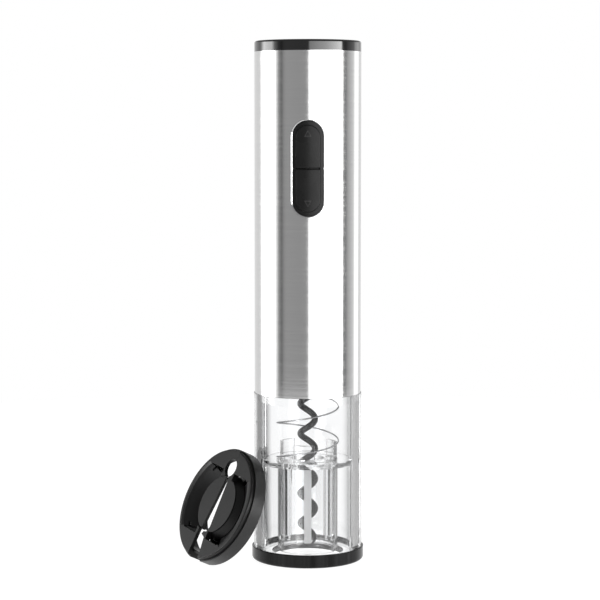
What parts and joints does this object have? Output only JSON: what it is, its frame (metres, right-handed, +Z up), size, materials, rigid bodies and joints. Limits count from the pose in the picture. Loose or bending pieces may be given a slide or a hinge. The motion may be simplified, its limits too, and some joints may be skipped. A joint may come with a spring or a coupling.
{
  "type": "electric wine opener",
  "caption": "Battery wine opener: brushed steel tube with two keys, clear lower sleeve with sprung cork holder and worm, gloss cap and foot ring, with its round foil cutter.",
  "frame": {"origin": "centre of the bottle mouth in the plane that the opener stands on", "axes": "+Z up along the worm and the tube's axis; the two keys face -Y"},
  "size_m": [0.0841, 0.0613, 0.2344],
  "materials": {
    "brushed_shell": "satin, brushed round the tube",
    "gloss_black": "gloss",
    "trim_chrome": "bright",
    "key_black": "matt",
    "clear_plastic": "clear, polished",
    "worm_coating": "satin non-stick coating",
    "spring_steel": "satin",
    "turned_steel": "turned",
    "bronze": "porous bronze",
    "gear_white": "satin acetal",
    "pinion_brass": "satin",
    "gearbox_grey": "fine grain",
    "chassis_black": "fine grain",
    "plated_can": "zinc plated",
    "magnet_grey": "sintered",
    "lamination": "stacked sheet",
    "bell_white": "satin",
    "contact_plate": "nickel plated",
    "fastener": "zinc plated",
    "cell_wrap": "printed sleeve, plain",
    "board_green": "solder mask",
    "switch_black": "satin",
    "lead_red": "satin",
    "lead_black": "satin",
    "seal_rubber": "matt",
    "cutter_black": "fine grain",
    "wheel_steel": "ground"
  },
  "bodies": {
    "housing": {"bottom_ring": "gloss_black", "clear_sleeve": "clear_plastic", "steel_shell": "brushed_shell", "chassis_left": "chassis_black", "chassis_right": "chassis_black", "chassis_screws": "fastener", "battery_tray": "chassis_black", "battery_cells": "cell_wrap", "lower_contacts": "contact_plate", "contact_carrier": "chassis_black", "upper_contacts": "contact_plate", "button_trim": "trim_chrome", "button_bezel": "key_black", "switch_bodies": "switch_black", "circuit_board": "board_green", "lead_positive": "lead_red", "lead_negative": "lead_black", "gearbox_housing": "gearbox_grey", "gearbox_base": "gearbox_grey", "gearbox_cover": "gearbox_grey", "output_bushing": "bronze", "motor_can": "plated_can", "motor_magnets": "magnet_grey", "motor_end_bell": "bell_white", "motor_terminals": "contact_plate", "motor_screws": "fastener"},
    "cap": {"top_cap": "gloss_black", "cap_seal": "seal_rubber"},
    "spindle": {"output_carrier": "turned_steel", "worm_hub": "turned_steel", "worm": "worm_coating"},
    "input_stage": {"input_carrier": "gear_white"},
    "rotor": {"motor_shaft": "turned_steel", "motor_pinion": "pinion_brass", "motor_armature": "lamination"},
    "holder": {"cork_holder": "clear_plastic", "holder_spring": "spring_steel"},
    "up_key": {"button_up": "key_black", "switch_plunger_up": "switch_black"},
    "down_key": {"button_down": "key_black", "switch_plunger_down": "switch_black"},
    "cutter_left": {"cutter_half_left": "cutter_black", "cutter_hinge_pin": "wheel_steel", "cutter_axles_left": "wheel_steel"},
    "cutter_right": {"cutter_half_right": "cutter_black", "cutter_axles_right": "wheel_steel"},
    "output_planet_1": {"output_planet_1": "gear_white"},
    "input_planet_1": {"input_planet_1": "gear_white"},
    "output_planet_2": {"output_planet_2": "gear_white"},
    "input_planet_2": {"input_planet_2": "gear_white"},
    "output_planet_3": {"output_planet_3": "gear_white"},
    "input_planet_3": {"input_planet_3": "gear_white"},
    "cutter_wheel_1": {"cutter_wheel_1": "wheel_steel"},
    "cutter_wheel_2": {"cutter_wheel_2": "wheel_steel"},
    "cutter_wheel_3": {"cutter_wheel_3": "wheel_steel"},
    "cutter_wheel_4": {"cutter_wheel_4": "wheel_steel"}
  },
  "joints": [
    {"name": "holder_slide", "type": "slide", "parent": "housing", "child": "holder", "axis": [0, 0, 1], "range_m": [0, 0.042], "stiffness_N_per_m": 90, "springref_m": -0.02, "deforming": ["holder_spring"]},
    {"name": "worm_spin", "type": "hinge", "parent": "housing", "child": "spindle", "pos_m": [0, 0, 0.1], "axis": [0, 0, 1], "continuous": true},
    {"name": "input_stage_spin", "type": "hinge", "parent": "housing", "child": "input_stage", "pos_m": [0, 0, 0.111], "axis": [0, 0, 1], "continuous": true},
    {"name": "rotor_spin", "type": "hinge", "parent": "housing", "child": "rotor", "pos_m": [0, 0, 0.14], "axis": [0, 0, 1], "continuous": true},
    {"name": "cap_twist", "type": "hinge", "parent": "housing", "child": "cap", "pos_m": [0, 0, 0.23], "axis": [0, 0, 1], "range_deg": [0, 30]},
    {"name": "up_press", "type": "slide", "parent": "housing", "child": "up_key", "axis": [0, 1, 0], "range_m": [0, 0.0006], "stiffness_N_per_m": 1500, "springref_m": -0.0004},
    {"name": "down_press", "type": "slide", "parent": "housing", "child": "down_key", "axis": [0, 1, 0], "range_m": [0, 0.0006], "stiffness_N_per_m": 1500, "springref_m": -0.0004},
    {"name": "cutter_set_aside", "type": "slide", "parent": "housing", "child": "cutter_left", "axis": [-0.829, -0.5592, 0], "range_m": [0, 0.1]},
    {"name": "cutter_squeeze", "type": "hinge", "parent": "cutter_left", "child": "cutter_right", "pos_m": [-0.02893, -0.00866, 0.04748], "axis": [-0.7514, -0.5068, 0.4226], "range_deg": [-4.5, 0]},
    {"name": "output_planet_1_spin", "type": "hinge", "parent": "spindle", "child": "output_planet_1", "pos_m": [0.0108, 0, 0.10675], "axis": [0, 0, 1], "continuous": true},
    {"name": "input_planet_1_spin", "type": "hinge", "parent": "input_stage", "child": "input_planet_1", "pos_m": [0.0108, 0, 0.11555], "axis": [0, 0, 1], "continuous": true},
    {"name": "output_planet_2_spin", "type": "hinge", "parent": "spindle", "child": "output_planet_2", "pos_m": [-0.0054, 0.00935, 0.10675], "axis": [0, 0, 1], "continuous": true},
    {"name": "input_planet_2_spin", "type": "hinge", "parent": "input_stage", "child": "input_planet_2", "pos_m": [-0.0054, 0.00935, 0.11555], "axis": [0, 0, 1], "continuous": true},
    {"name": "output_planet_3_spin", "type": "hinge", "parent": "spindle", "child": "output_planet_3", "pos_m": [-0.0054, -0.00935, 0.10675], "axis": [0, 0, 1], "continuous": true},
    {"name": "input_planet_3_spin", "type": "hinge", "parent": "input_stage", "child": "input_planet_3", "pos_m": [-0.0054, -0.00935, 0.11555], "axis": [0, 0, 1], "continuous": true},
    {"name": "cutter_wheel_1_spin", "type": "hinge", "parent": "cutter_right", "child": "cutter_wheel_1", "pos_m": [-0.02616, -0.02321, 0.02974], "axis": [-0.7514, -0.5068, 0.4226], "continuous": true},
    {"name": "cutter_wheel_2_spin", "type": "hinge", "parent": "cutter_left", "child": "cutter_wheel_2", "pos_m": [-0.04232, 0.00365, 0.03323], "axis": [-0.7514, -0.5068, 0.4226], "continuous": true},
    {"name": "cutter_wheel_3_spin", "type": "hinge", "parent": "cutter_left", "child": "cutter_wheel_3", "pos_m": [-0.04844, 0.00169, 0.02], "axis": [-0.7514, -0.5068, 0.4226], "continuous": true},
    {"name": "cutter_wheel_4_spin", "type": "hinge", "parent": "cutter_right", "child": "cutter_wheel_4", "pos_m": [-0.03228, -0.02517, 0.01651], "axis": [-0.7514, -0.5068, 0.4226], "continuous": true}
  ],
  "couplings": [
    {"joint": "input_stage_spin", "follows": "worm_spin", "ratio": 4.5},
    {"joint": "rotor_spin", "follows": "worm_spin", "ratio": 20.25},
    {"joint": "output_planet_1_spin", "follows": "worm_spin", "ratio": -2.8},
    {"joint": "input_planet_1_spin", "follows": "worm_spin", "ratio": -12.6},
    {"joint": "output_planet_2_spin", "follows": "worm_spin", "ratio": -2.8},
    {"joint": "input_planet_2_spin", "follows": "worm_spin", "ratio": -12.6},
    {"joint": "output_planet_3_spin", "follows": "worm_spin", "ratio": -2.8},
    {"joint": "input_planet_3_spin", "follows": "worm_spin", "ratio": -12.6}
  ]
}
